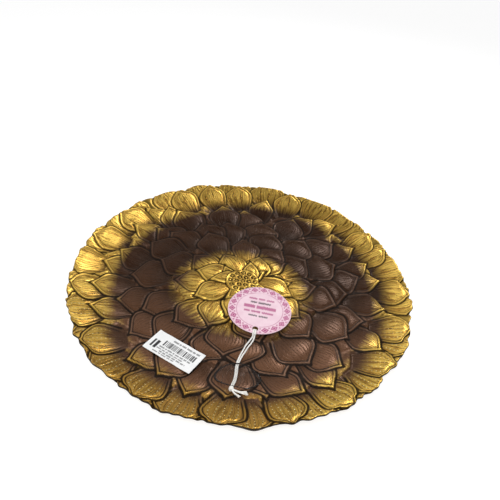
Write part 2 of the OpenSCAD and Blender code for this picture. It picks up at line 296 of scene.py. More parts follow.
# The tag's ring of lozenges with specks between them, two thin rings beside it by place, width and
# ink, and the lines of words by ink, middle, height and ends
RING_R = 23.4
LOZENGES = 18
LOZENGE = (3.4, 2.7)
LOZENGE_EDGE = (1.1, 0.9)
LOZENGE_LINE = (0.5, 0.12)
LOZENGE_PALE = 0.75
SPECK_AT = 1.7
SPECK_R = 0.8
SPECK_INK = 0.8
THIN_RINGS = [(-3.6, 0.3, 0.7), (2.7, 0.35, 0.4)]
HOLE_MARGIN = (0.6, 1.2)
TAG_STROKES = 0.18
TAG_LINES = [
    ("pink", 11.8, 1.8, [(-11, -4), (-2.8, 3), (4.2, 11)]),
    ("grey", 7.4, 1.9, [(-9, -3.5), (-2.3, 8.5)]),
    ("pink", 2.2, 3.6, [(-14, -4.4), (-3, 13.6)]),
    ("pink", -3.4, 2.0, [(-13, -8), (-6.8, 1), (2.2, 12)]),
    ("grey", -8.0, 1.6, [(-8.4, -1), (0.4, 8)]),
]

# String: its loop through the tag, the middle line of its two strands and how far each is from it
STRING_R = 0.65
STRING_STEP = 0.4
LOOP_R = 0.8
LOOP_CLEAR = 0.95
LOOP_STEPS = 48
STRING_ROUTE = [
    (13.6, -63.3, 6.3), (13.2, -64.9, 5.5), (12.6, -66.6, 5.2), (11.2, -69.6, 5), (8.9, -74, 5),
    (7, -79, 5.2), (5.4, -83, 5.4), (3.8, -88, 5.6), (2.8, -92, 5.6), (2.5, -96, 5.3),
    (2.5, -100, 5.3), (2.3, -104, 5.8), (2, -107, 6.5), (1.4, -110, 7.2), (0.6, -113, 8.1),
    (0.2, -115.2, 8.8),
]
STRAND_SPREAD = [0.7, 0.8, 1, 1.2, 1.2, 1.05, 0.85, 0.7, 0.64, 0.64, 0.64, 0.64, 0.64, 0.64, 0.64, 0.64]
COTTON_SHADE = (0.88, 0.86, 0.81)
COTTON_LIGHT = (0.96, 0.95, 0.92)

# Knot: string wound round a core, and two ends that fray. The first point of an end is in the knot
KNOT_AT = (0.1, -117.0, 9.9)
KNOT_AXIS = (-0.1, -0.85, 0.5)
WRAP_TURNS = 2.2
WRAP_R = 1.0
WRAP_L = 2.6
WRAP_POINTS = 70
WRAP_YARN_R = 0.75
CORE_SPAN = (-1.9, 1.7)
CORE_POINTS = 12
CORE_YARN_R = 0.95
END_ROUTES = [
    [(-1.4, -117, 10.3), (0, -117.4, 10.2), (1.6, -117.8, 10), (4, -118.4, 9.3), (7, -119, 9),
     (10, -119.5, 9.2), (13, -120, 9.3)],
    [(-0.8, -116.4, 10.4), (0, -117.4, 10.2), (1, -118.6, 10), (2.8, -120.4, 9.7), (4.8, -122.2, 10.1),
     (7, -124, 10.8)],
]
END_STEP = 0.5
FIBRE_SEED = 7
FIBRE_R = 0.32
FIBRE_COUNTS = (14, 11)
FIBRE_CUT = (0.82, 1.0)
# How far the fibres splay at the root and more at the end, sideways and up, and how they waver
SPLAY_ROOT = 0.25
SPLAY_ENDS = (1.9, 1.5)
SPLAY_POWER = 1.6
SPLAY_SIDE = 0.55
SPLAY_UP = 0.35
WAVER_SIDE = (0.12, 9)
WAVER_UP = (0.10, 11)

# Seal: film over the petals, tented over the string. Its rings are shares of its size
SEAL_AT = (4.0, -103.5)
SEAL_SIZE = (35.0, 23.0)
SEAL_SIDES = 96
INNER_RINGS = (0.02, 0.94, 30)
OUTER_RINGS = (0.95, 0.96, 0.97, 0.985, 1.0)
DARK_EDGE = (0.915, 0.95)
FILM_T = 0.12
FILM_GAP = 0.1
FILM_REACH = 1.5
TENT_STEP = 0.5
TENT_GAP = 0.35
TENT_FLAT = 1.2
TENT_FALL = 0.022
FILM_CLEAR = (0.10, 0.08, 0.075)
FILM_DARK = (0.012, 0.009, 0.008)

# Camera, fitted to the photograph: it circles the middle of the rim's plane
CAMERA_TARGET = (0.0, 0.0, 18.0)
CAMERA_DISTANCE = 403.56
CAMERA_ELEVATION = 0.71836
CAMERA_YAW = 0.00899
CAMERA_PITCH = 0.04707
CAMERA_ROLL = 0.10627
CAMERA_LENS = 32.485
SENSOR = 36.0
CLIP_START = 10.0

# Stage and lights, in metres and watts: name, place, size and power of each lamp
FLOOR_HALF = 3.0
FLOOR_Z = -0.0002
FLOOR_GREY = 0.45
FLOOR_GLOW = 0.75
LAMPS = [
    ("key", (-0.05, -0.45, 0.70), 0.45, 3.45),
    ("sheen", (0.26, 0.66, 0.68), 0.25, 1.9),
]
# World: dark low down, bright halfway up, dim overhead and pale at the horizon, by a ray's height
WORLD_LOW = 0.03
WORLD_BANDS = [((0.51, 0.70), 1.1), ((0.71, 0.87), 0.12)]
WINDOW_UP = ((0.29, 0.38), (0.60, 0.50))
WINDOW_X = (-0.02, -0.22)
WINDOW_GREY = 0.9
HORIZON_UP = (0.25, 0.15)
HORIZON_GREY = 0.95


def turn(angle, axis):
    return Matrix.Rotation(angle, 4, axis)


def make_camera():
    data = bpy.data.cameras.new("camera")
    data.sensor_width = SENSOR
    data.lens = CAMERA_LENS
    data.clip_start = CLIP_START * MM
    camera = bpy.data.objects.new("camera", data)
    scene.collection.objects.link(camera)
    back = Vector((0.0, -math.cos(CAMERA_ELEVATION), math.sin(CAMERA_ELEVATION)))
    place = (Vector(CAMERA_TARGET) + back * CAMERA_DISTANCE) * MM
    aim = turn(math.pi / 2 - CAMERA_ELEVATION, "X") @ turn(-CAMERA_YAW, "Y")
    aim = aim @ turn(CAMERA_PITCH, "X") @ turn(CAMERA_ROLL, "Z")
    camera.matrix_world = Matrix.Translation(place) @ aim
    scene.camera = camera


make_camera()


# Helpers for materials


def new_material(name):
    made = bpy.data.materials.new(name)
    made.use_nodes = True
    return made, made.node_tree, made.node_tree.nodes["Principled BSDF"]


def feed(node, inputs):
    """Links the inputs of a node to sockets, or sets them to values."""
    for key, value in inputs.items():
        if isinstance(value, bpy.types.NodeSocket):
            node.id_data.links.new(value, node.inputs[key])
        else:
            node.inputs[key].default_value = value


def add(tree, kind, inputs=None, **settings):
    made = tree.nodes.new("ShaderNode" + kind)
    for key, value in settings.items():
        setattr(made, key, value)
    feed(made, inputs or {})
    return made


def calc(operation, a, b=0.0, clamp=False):
    return add(a.id_data, "Math", {0: a, 1: b}, operation=operation, use_clamp=clamp).outputs[0]


def times(a, b):
    return calc("MULTIPLY", a, b)


def ramp(value, low, high, to_low=0.0, to_high=1.0):
    """A smooth step of a value."""
    inputs = {"Value": value, "From Min": low, "From Max": high, "To Min": to_low, "To Max": to_high}
    return add(value.id_data, "MapRange", inputs, interpolation_type="SMOOTHSTEP").outputs[0]


def mix(share, a, b):
    """A share of colour b in colour a, each of them a socket or three numbers."""
    a, b = ((*c, 1.0) if isinstance(c, tuple) else c for c in (a, b))
    return add(share.id_data, "Mix", {0: share, 6: a, 7: b}, data_type="RGBA").outputs[2]


def attribute(tree, name):
    return add(tree, "Attribute", attribute_name=name).outputs["Fac"]


def noise(tree, scale, detail, roughness=0.5):
    place = add(tree, "TexCoord").outputs["Object"]
    inputs = {"Vector": place, "Scale": scale, "Detail": detail, "Roughness": roughness}
    return add(tree, "TexNoise", inputs).outputs[0]


def strand_noise(v, t, apart, across, along, detail):
    """Noise drawn out along a petal, other on each petal by its place apart."""
    u = calc("ADD", times(v, across), apart)
    place = add(u.id_data, "CombineXYZ", {0: u, 1: times(t, along)}).outputs[0]
    return add(u.id_data, "TexNoise", {"Vector": place, "Scale": 1.0, "Detail": detail}).outputs[0]


def bump(shader, height, distance, strength):
    inputs = {"Height": height, "Distance": distance, "Strength": strength}
    feed(shader, {"Normal": add(shader.id_data, "Bump", inputs).outputs[0]})


# Helpers for meshes


def make_piece(name, points, faces, body, material, smooth=True):
    mesh = bpy.data.meshes.new(name)
    mesh.from_pydata((np.asarray(points, float) * MM).tolist(), [], faces)
    mesh.materials.append(material)
    mesh.polygons.foreach_set("use_smooth", [smooth] * len(mesh.polygons))
    mesh.validate()
    mesh.update()
    piece = bpy.data.objects.new(name, mesh)
    scene.collection.objects.link(piece)
    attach(piece, body)
    return piece


def set_attribute(piece, name, values):
    made = piece.data.attributes.new(name, "FLOAT", "POINT")
    made.data.foreach_set("value", np.asarray(values, np.float32))


def smooth_step(low, high, x):
    u = np.clip((x - low) / (high - low), 0.0, 1.0)
    return u * u * (3 - 2 * u)


def bell(x, middle, width):
    return np.exp(-(((x - middle) / width) ** 2))


def round_angles(count):
    return 2 * np.pi * np.arange(count) / count


def spline(points, step):
    """Points along a smooth curve through the given points, about a step apart."""
    p = np.asarray(points, float)
    ends = np.vstack([2 * p[0] - p[1], p, 2 * p[-1] - p[-2]])
    made = []
    for i in range(len(p) - 1):
        a, b, c, d = ends[i : i + 4]
        count = max(2, int(round(np.linalg.norm(c - b) / step)))
        for u in np.arange(count) / count:
            made.append(0.5 * (2 * b + (c - a) * u + (2 * a - 5 * b + 4 * c - d) * u**2
                               + (3 * b - a - 3 * c + d) * u**3))
    return np.array(made + [p[-1]])


def path_frames(path, closed=False):
    """Side and up directions along a path, carried on without twist."""
    if closed:
        along = np.roll(path, -1, axis=0) - np.roll(path, 1, axis=0)
    else:
        along = np.gradient(path, axis=0)
    along /= np.linalg.norm(along, axis=1)[:, None]
    side = np.cross(along[0], (0.0, 0.0, 1.0))
    if np.linalg.norm(side) < 0.1:
        side = np.cross(along[0], (1.0, 0.0, 0.0))
    sides = []
    for a in along:
        side = side - a * (side @ a)
        side = side / np.linalg.norm(side)
        sides.append(side)
    sides = np.array(sides)
    return sides, np.cross(sides, along)


def yarn(path, radius, plies=3, sides=18, lay=4.2, depth=0.2, closed=False):
    """Points and faces of a tube of twisted plies along a path."""
    side, up = path_frames(path, closed)
    steps = np.linalg.norm(np.diff(path, axis=0), axis=1)
    run = np.concatenate([[0.0], np.cumsum(steps)])
    angles = round_angles(sides)
    points = []
    for i, middle in enumerate(path):
        lobes = np.abs(np.cos(plies / 2 * (angles - 2 * np.pi * run[i] / lay)))
        reach = radius * (1 - depth + depth * lobes)
        to_side, to_up = reach * np.cos(angles), reach * np.sin(angles)
        points.append(middle + to_side[:, None] * side[i] + to_up[:, None] * up[i])
    points = np.vstack(points)
    count = len(path)
    faces = []
    for k in range(count if closed else count - 1):
        a, b = k * sides, (k + 1) % count * sides
        for i in range(sides):
            j = (i + 1) % sides
            faces.append((a + i, a + j, b + j, b + i))
    if not closed:
        faces.append(tuple(range(sides - 1, -1, -1)))
        faces.append(tuple((count - 1) * sides + i for i in range(sides)))
    return points, faces


def join(parts):
    """One list of points and faces out of several."""
    points, faces, base = [], [], 0
    for p, f in parts:
        points.append(np.asarray(p, float))
        faces += [tuple(i + base for i in face_ids) for face_ids in f]
        base += len(p)
    return np.vstack(points), faces


def stitch(a, count_a, b, count_b):
    """Faces between two rings of points, of which one may have about twice as many as the other."""
    if count_a == count_b:
        return [(a + i, b + i, b + (i + 1) % count_b, a + (i + 1) % count_a) for i in range(count_a)]
    faces, i, j = [], 0, 0
    while i < count_a or j < count_b:
        if j < count_b and (i >= count_a or (j + 0.5) / count_b <= (i + 0.5) / count_a):
            faces.append((a + i % count_a, b + j % count_b, b + (j + 1) % count_b))
            j += 1
        else:
            faces.append((a + i % count_a, b + j % count_b, a + (i + 1) % count_a))
            i += 1
    return faces


def even_rings(rings, count):
    """Faces between rings that follow each other and have as many points each."""
    faces = []
    for k in range(rings - 1):
        faces += stitch(k * count, count, (k + 1) * count, count)
    return faces


# Cotton string


def cotton_material():
    made, tree, shader = new_material("cotton")
    cloud = noise(tree, 900, 4)
    fibre = noise(tree, 5200, 3, 0.7)
    tint = mix(ramp(cloud, 0.35, 0.65), COTTON_SHADE, COTTON_LIGHT)
    feed(shader, {"Base Color": tint, "Roughness": 0.9, "Specular IOR Level": 0.2, "Sheen Weight": 0.3})
    bump(shader, fibre, 0.00012, 0.7)
    return made


COTTON = cotton_material()


def strand_route(way):
    """The route of one strand, to the right of the middle line or, with way -1, to the left."""
    route = np.asarray(STRING_ROUTE, float)
    ahead = np.empty_like(route)
    ahead[1:-1] = route[2:] - route[:-2]
    ahead[0] = route[1] - route[0]
    ahead[-1] = route[-1] - route[-2]
    right = np.stack([ahead[:, 1], -ahead[:, 0], np.zeros(len(route))], axis=1)
    right /= np.linalg.norm(right, axis=1)[:, None]
    return route + way * np.asarray(STRAND_SPREAD)[:, None] * right


def wound_knot():
    """The turns of string and the core that they are wound round."""
    middle, axis = np.array(KNOT_AT), np.array(KNOT_AXIS)
    axis /= np.linalg.norm(axis)
    side = np.cross(axis, (0, 0, 1.0))
    side /= np.linalg.norm(side)
    up = np.cross(side, axis)
    u = np.linspace(0, 1, WRAP_POINTS)
    angle = 2 * np.pi * WRAP_TURNS * u
    wrap = (middle + np.outer((u - 0.5) * WRAP_L, axis)
            + WRAP_R * (np.outer(np.cos(angle), side) + np.outer(np.sin(angle), up)))
    core = np.array([middle + axis * k for k in np.linspace(*CORE_SPAN, CORE_POINTS)])
    return [yarn(wrap, WRAP_YARN_R), yarn(core, CORE_YARN_R)]


def frayed_ends():
    rng = np.random.default_rng(FIBRE_SEED)
    parts = []
    for route, count, splay in zip(END_ROUTES, FIBRE_COUNTS, SPLAY_ENDS):
        line = spline(route[1:], END_STEP)
        share = np.linspace(0, 1, len(line))
        sides, ups = path_frames(line)
        off = SPLAY_ROOT + splay * share**SPLAY_POWER
        for _ in range(count):
            a, b = rng.normal(0, 1, 2)
            phase = rng.uniform(0, 2 * np.pi, 2)
            cut = int(len(line) * rng.uniform(*FIBRE_CUT))
            to_side = a * SPLAY_SIDE * off + WAVER_SIDE[0] * np.sin(WAVER_SIDE[1] * share + phase[0])
            to_up = np.abs(b) * SPLAY_UP * off + WAVER_UP[0] * np.sin(WAVER_UP[1] * share + phase[1])
            fibre = line + sides * to_side[:, None] + ups * to_up[:, None]
            parts.append(yarn(fibre[:cut], FIBRE_R, plies=2, sides=8, lay=2.5))
    return parts


def make_knot():
    points, faces = join(wound_knot() + frayed_ends())
    piece = make_piece("knot", points, faces, "tray", COTTON)
    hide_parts("string_knot")
    return piece


def make_strings():
    knot = make_knot()
    for name, way in (("strand_left", -1), ("strand_right", 1)):
        path = spline(strand_route(way), STRING_STEP)
        points, faces = yarn(path, STRING_R)
        strand = make_piece(name, points, faces, "tray", COTTON)
    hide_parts("tag_string")


make_strings()


# The tray's face


def wall(r):
    return FLOOR_T + WALL_RISE * np.maximum(0.0, (r - FLOOR_R) / (TRAY_R - FLOOR_R)) ** WALL_POWER


def ground(r):
    dome = np.where(r < DOME_R, DOME_H * (1 + np.cos(np.pi * r / DOME_R)) / 2, 0.0)
    return wall(r) + dome


def back(r):
    return wall(r) - FLOOR_T + (FLOOR_T - RIM_T) * smooth_step(FLOOR_R, TRAY_R, r)


def rim(angle):
    waves = sum(s * f(n * angle) for s, f, n in zip(WAVE_SHARES, (np.cos, np.sin), WAVE_COUNTS))
    return TRAY_R + RIM_WAVE * waves


def petal_half(t, half_w):
    """Half-width at a distance from the tip: an ogee up to the belly, then a taper to the base."""
    x = np.clip(t / PETAL_BELLY, 0.0, 1.0)
    tip = TIP_SHARP * x + (1 - TIP_SHARP) * np.sin(np.pi / 2 * x**TIP_FULL) ** 2
    base = 1 - BASE_TAPER * smooth_step(PETAL_BELLY, BASE_END, t)
    return half_w * np.where(t < PETAL_BELLY, tip, base)


def petal_inset(t, across, half_w):
    """About how far a point is inside a petal's edge, below 0 outside."""
    half = petal_half(t, half_w)
    ahead, behind = petal_half(t + SLOPE_STEP, half_w), petal_half(t - SLOPE_STEP, half_w)
    slope = (ahead - behind) / (2 * SLOPE_STEP)
    inset = (half - np.abs(across)) / np.sqrt(1 + slope**2)
    return np.where(t > 0, inset, -np.hypot(t, across))


def petal_relief(t, v, inset, r):
    """Height of a petal over the ground, with the bead along its edge; near the rim it is flatter."""
    edge = PETAL_LIFT - PETAL_FALL * t / PETAL_L
    rise = smooth_step(0.0, CROWN_RISE, t) * smooth_step(*CROWN_FALL, t)
    crown = PETAL_CROWN * (1 - np.abs(v) ** CROWN_POWER) * rise * (1 - RIM_FLAT * smooth_step(*RIM_ZONE, r))
    return edge + crown + BEAD_H * bell(inset, BEAD_AT, BEAD_W) - INNER_H * bell(inset, INNER_AT, INNER_W)


def petal_lines(t, inset, outlined):
    """Dark lines along a petal's edge: the one outside it and the thinner one inside."""
    outer = outlined * bell(inset, OUTER_AT, OUTER_W) * smooth_step(PETAL_L, PETAL_L - OUTER_FADE, t)
    inner = INNER_INK * outlined * bell(inset, INNER_AT, INNER_W)
    return outer, inner * smooth_step(PETAL_L, PETAL_L - INNER_FADE, t)


def soften(field, sigma):
    """A field on the grid, blurred by a bell of the given width."""
    reach = int(math.ceil(3 * sigma / GRID_STEP))
    weights = np.exp(-0.5 * (np.arange(-reach, reach + 1) * GRID_STEP / sigma) ** 2)
    weights /= weights.sum()
    for axis in (0, 1):
        field = sum(w * np.roll(field, k, axis=axis) for w, k in zip(weights, range(-reach, reach + 1)))
    return field


def under_tiers():
    """Plain tiers of petals under the others, so that no bare ground shows between them."""
    made = []
    for tip_r in np.arange(UNDER_FIRST, UNDER_LAST, UNDER_STEP):
        count = int(round(2 * np.pi * tip_r / UNDER_WIDE))
        turned = UNDER_TURN * tip_r
        made.append((UNDER_WIDE / 2, [(turned + 360 * k / count, tip_r) for k in range(count)]))
    return made


def lay_petal(made, axis, half_w, outlined, tone, sway, angle, tip_r, lean=0):
    """Paints one petal over what is on the grid."""
    tip_x, tip_y = tip_r * math.cos(math.radians(angle)), tip_r * math.sin(math.radians(angle))
    heading = math.radians(angle + lean)
    c, s = math.cos(heading), math.sin(heading)
    reach = PETAL_L / 2 + WINDOW_SPARE
    spans = []
    for at in (tip_y - s * PETAL_L / 2, tip_x - c * PETAL_L / 2):
        spans.append(slice(*np.searchsorted(axis, (at - reach, at + reach))))
    window = tuple(spans)
    y, x = axis[window[0]][:, None] - tip_y, axis[window[1]][None, :] - tip_x
    t = -(x * c + y * s)
    bend = 1 - np.clip(1 - t / SWAY_RUN, 0, SWAY_LIMIT) ** 2
    across = y * c - x * s + TIP_SWAY * sway * bend
    inset = petal_inset(t, across, half_w)
    v = np.clip(across / np.maximum(petal_half(t, half_w), HALF_LEAST), -1, 1)
    r = np.hypot(x + tip_x, y + tip_y)
    height = petal_relief(np.clip(t, 0, PETAL_L), v, np.maximum(inset, 0), r)
    outer, inner = petal_lines(t, inset, outlined)
    seen = (t < PETAL_L) & (t > -LINE_REACH)
    on = seen & (inset > 0)
    beside = outer * (seen & (inset <= 0))
    for name, value in (("inset", inset), ("v", v), ("t", t), ("tone", np.full_like(t, tone))):
        made[name][window] = np.where(on, value, made[name][window])
    made["relief"][window] = np.where(on, height, made["relief"][window] - OUTER_H * beside)
    line = np.maximum(made["line"][window], beside)
    made["line"][window] = np.where(on, np.maximum(inner, outer), line)


def lay_petals():
    """Relief and petal coordinates on the grid, painted from the rim's tier inwards."""
    axis = np.arange(-GRID_REACH, GRID_REACH + GRID_STEP / 2, GRID_STEP)
    made = {name: np.zeros((len(axis), len(axis))) for name in ("relief", "line", "v", "t", "tone")}
    made["inset"] = np.full_like(made["relief"], OPEN_INSET)
    vary = np.random.default_rng(PETAL_SEED)
    under = under_tiers()[::-1]
    for level, (tier_w, places) in enumerate(under + TIERS[::-1]):
        outlined = 1.0 if level >= len(under) else UNDER_LINE
        for place in places:
            tone, sway, wide = vary.uniform(-1, 1, 3)
            half_w = tier_w * PETAL_SPREAD * (1 + PETAL_VARY * wide)
            lay_petal(made, axis, half_w, outlined, tone, sway, *place)
    made["exit"] = soften(made["line"], SOFT_EXIT)
    made["relief"] = soften(made["relief"], SOFT_STEP)
    made["line"] = soften(made["line"], SOFT_LINE)
    return made


PETALS = lay_petals()


def on_grid(name, x, y, nearest=False):
    """A field of the petals' grid at any points."""
    field = PETALS[name]
    u, w = (np.asarray(x) + GRID_REACH) / GRID_STEP, (np.asarray(y) + GRID_REACH) / GRID_STEP
    if nearest:
        return field[np.rint(w).astype(int), np.rint(u).astype(int)]
    i, j = np.floor(u).astype(int), np.floor(w).astype(int)
    a, b = u - i, w - j
    low = field[j, i] * (1 - a) + field[j, i + 1] * a
    high = field[j + 1, i] * (1 - a) + field[j + 1, i + 1] * a
    return low * (1 - b) + high * b


def seed_pod(x, y):
    """Height of the pod's top with its sockets and seeds, and the dark share of its holes."""
    top = np.full_like(x, POD_TOP)
    hole = np.zeros_like(x)
    for ring in range(SOCKET_RINGS + 1):
        for i in range(max(1, RING_SEEDS * ring)):
            a = math.radians(360 / RING_SEEDS * i / max(1, ring))
            d = np.hypot(x - ring * SOCKET_STEP * math.cos(a), y - ring * SOCKET_STEP * math.sin(a))
            pit = smooth_step(SOCKET_R + SOCKET_SOFT[0], SOCKET_R - SOCKET_SOFT[1], d)
            seed = SEED_H * np.sqrt(np.clip(1 - (d / SEED_R) ** 2, 0, 1))
            top = top - SOCKET_H * pit + seed
            hole = np.maximum(hole, pit * smooth_step(SEED_R - SEED_SOFT, SEED_R, d))
    return top, hole


def face(x, y):
    """The tray's face: its height, and for the material the place on the topmost petal."""
    r = np.hypot(x, y)
    outer = smooth_step(*RIM_ZONE, r)
    relief = on_grid("relief", x, y) * (1 + RIM_CROWN * outer)
    height = ground(r) + relief - RIM_SINK * outer
    pod = smooth_step(POD_R + POD_SOFT, POD_R - POD_SOFT, r)
    pod_top, hole = seed_pod(x, y)
    on_pod = pod > 0.5
    line = np.maximum(on_grid("line", x, y), bell(r, POD_R + POD_LINE, POD_LINE_W))
    made = {name: on_grid(name, x, y, nearest=True) for name in ("inset", "v", "t", "tone")}
    made["inset"] = np.where(on_pod, POD_INSET, made["inset"])
    made["line"] = np.where(on_pod, hole, line)
    made["z"] = height * (1 - pod) + pod_top * pod
    return made


def rim_notch(x, y, z):
    """The rim is drawn in and down where a dark line runs out over it, and has small teeth between."""
    r, angle = np.hypot(x, y), np.arctan2(y, x)
    exits = on_grid("exit", NOTCH_AT * np.cos(angle), NOTCH_AT * np.sin(angle))
    teeth = np.sin(TOOTH_COUNT / 2 * angle + TOOTH_DRIFT * np.sin(DRIFT_COUNT * angle)) ** 2
    outer = smooth_step(RUFFLE_FROM, TRAY_R, r)
    deep = smooth_step(*RUFFLE_SIDE, y)
    pull = 1 - (RIM_ROLL + (NOTCH_DEPTH * exits + TOOTH_DEPTH * teeth) * deep) / TRAY_R * outer
    drop = RUFFLE_DEPTH * outer * (RUFFLE_EVEN + (exits + RUFFLE_TEETH * teeth) * deep)
    return x * pull, y * pull, z - drop


def wavy_ring(r, count):
    """Reach and points of a ring, drawn out and in to the rim's wavy edge if it is far enough out."""
    a = round_angles(count)
    reach = r + (rim(a) - TRAY_R) * smooth_step(WAVE_FROM, TRAY_R, r)
    return reach, reach * np.cos(a), reach * np.sin(a)


def face_rings():
    """Radius and number of points of each ring of the face, from the middle out."""
    rings, inner = [], FIRST_RING
    for outer, count in FACE_ZONES:
        steps = max(1, int(round((outer - inner) / FACE_STEP)))
        rings += [(inner + (outer - inner) * k / steps, count) for k in range(steps)]
        inner = outer
    return rings + [(TRAY_R, RIM_POINTS)]


def tray_face():
    """Points and faces of the tray's face, and what face() says of the points."""
    xs, ys, starts, total = [np.zeros(1)], [np.zeros(1)], [], 1
    for r, count in face_rings():
        _, x, y = wavy_ring(r, count)
        xs.append(x)
        ys.append(y)
        starts.append((total, count))
        total += count
    x, y = np.concatenate(xs), np.concatenate(ys)
    fields = face(x, y)
    first, count = starts[0]
    faces = [(0, first + i, first + (i + 1) % count) for i in range(count)]
    for (a, count_a), (b, count_b) in zip(starts, starts[1:]):
        faces += stitch(a, count_a, b, count_b)
    return np.column_stack(rim_notch(x, y, fields["z"])), faces, fields


def under_rings(edge):
    """Rings of points from the face's edge, round the rim and inwards underneath."""
    out = edge[:, :2] / np.linalg.norm(edge[:, :2], axis=1)[:, None]
    a = round_angles(RIM_POINTS)
    bottom = back(np.full(RIM_POINTS, TRAY_R))
    under = rim_notch(TRAY_R * np.cos(a), TRAY_R * np.sin(a), bottom)[2]
    rings = []
    for k, share in enumerate(EDGE_SHARES):
        push = EDGE_SWELL * np.sin(np.pi * (k + 1) / (len(EDGE_SHARES) + 1))
        z = edge[:, 2] + (under - edge[:, 2]) * share
        rings.append(np.column_stack([edge[:, :2] + out * push, z]))
    for r, count in BACK_RINGS:
        reach, x, y = wavy_ring(r, count)
        rings.append(np.column_stack(rim_notch(x, y, back(reach))))
    return rings


def paint_tray(piece, on_face, fields):
    """What the material is told at each point: the finish and its painted light and shade by place, and the
    place on the petal.
    """
    x, y, t, tone = on_face[:, 0], on_face[:, 1], fields["t"], fields["tone"]
    tipped = np.where(t > 0, TIP_GOLD - t * TIP_GOLD_FALL, 0) + TONE_GOLD * tone
    reach = np.hypot(x, y) + tipped
    spread = GOLD_SPREAD * smooth_step(*SPREAD_X, x) * smooth_step(*SPREAD_Y, y)
    gold = smooth_step(*RIM_GOLD, reach + spread)
    heart = 1 - smooth_step(*HEART_GOLD, reach + HEART_SHRINK * smooth_step(*HEART_Y, y))
    # Painted shade on the gold towards -Y and -X
    gold_shade = smooth_step(*GOLD_SHADE_Y, y) * smooth_step(*GOLD_SHADE_X, x)
    values = {
        "gold": np.maximum(gold, heart),
        "line": fields["line"],
        "inset": fields["inset"],
        "vein_v": fields["v"],
        "vein_t": t,
        "tone": tone,
        # Share of the near side, -Y, by which light and shade are painted
        "near_side": smooth_step(*PAINTED_LIGHT_Y, y),
        "gold_shade": np.maximum(gold_shade, FAR_SHADE * smooth_step(*FAR_SHADE_Y, y)),
    }
    edge_count = len(EDGE_SHARES) * RIM_POINTS
    rest = len(piece.data.vertices) - len(on_face) - edge_count
    for name, (on_edge, behind) in OFF_FACE.items():
        off_face = [np.full(edge_count, on_edge), np.full(rest, behind)]
        set_attribute(piece, name, np.concatenate([values[name], *off_face]))


def make_tray():
    on_face, faces, fields = tray_face()
    points, total = [on_face], len(on_face)
    last, last_count = total - RIM_POINTS, RIM_POINTS
    for ring in under_rings(on_face[last:]):
        points.append(ring)
        faces += stitch(last, last_count, total, len(ring))
        last, last_count, total = total, len(ring), total + len(ring)
    points.append(np.zeros((1, 3)))
    faces += [(last + i, total, last + (i + 1) % last_count) for i in range(last_count)]
    piece = make_piece("tray", np.vstack(points), faces, "tray", brass_material())
    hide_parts("tray_dish")
    paint_tray(piece, on_face, fields)


def gold_share(gold, strand):
    """Share of bare gold, ragged along the strands where it is neither all gold nor none."""
    ragged = times(calc("SUBTRACT", strand, 0.5), 0.9)
    share = calc("ADD", gold, ragged, True)
    share = calc("MINIMUM", share, ramp(gold, 0.0, 0.25))
    return calc("MAXIMUM", share, ramp(gold, 0.7, 1.0))


def petal_veins(v, t, inset, apart, strand):
    """Dark broken lines along a petal, which draw together at its tip."""
    dashes = strand_noise(v, t, apart, 9.0, 0.55, 2.0)
    phase = calc("ADD", times(v, VEINS / 2), strand)
    vein = ramp(calc("PINGPONG", phase, 0.5), 0.33, 0.5)
    vein = times(vein, ramp(dashes, 0.25, 0.5))
    return times(vein, ramp(inset, *VEIN_INSET))


def punched_dots(v, t, inset):
    """Dots in rows along a petal, half as many rows as veins."""
    row = ramp(calc("PINGPONG", times(v, VEINS / 4), 0.5), 0.13, 0.06)
    dot = ramp(calc("PINGPONG", times(t, 1 / DOT_STEP), 0.5), 0.3, 0.42)
    return times(times(row, dot), ramp(inset, *DOT_INSET))


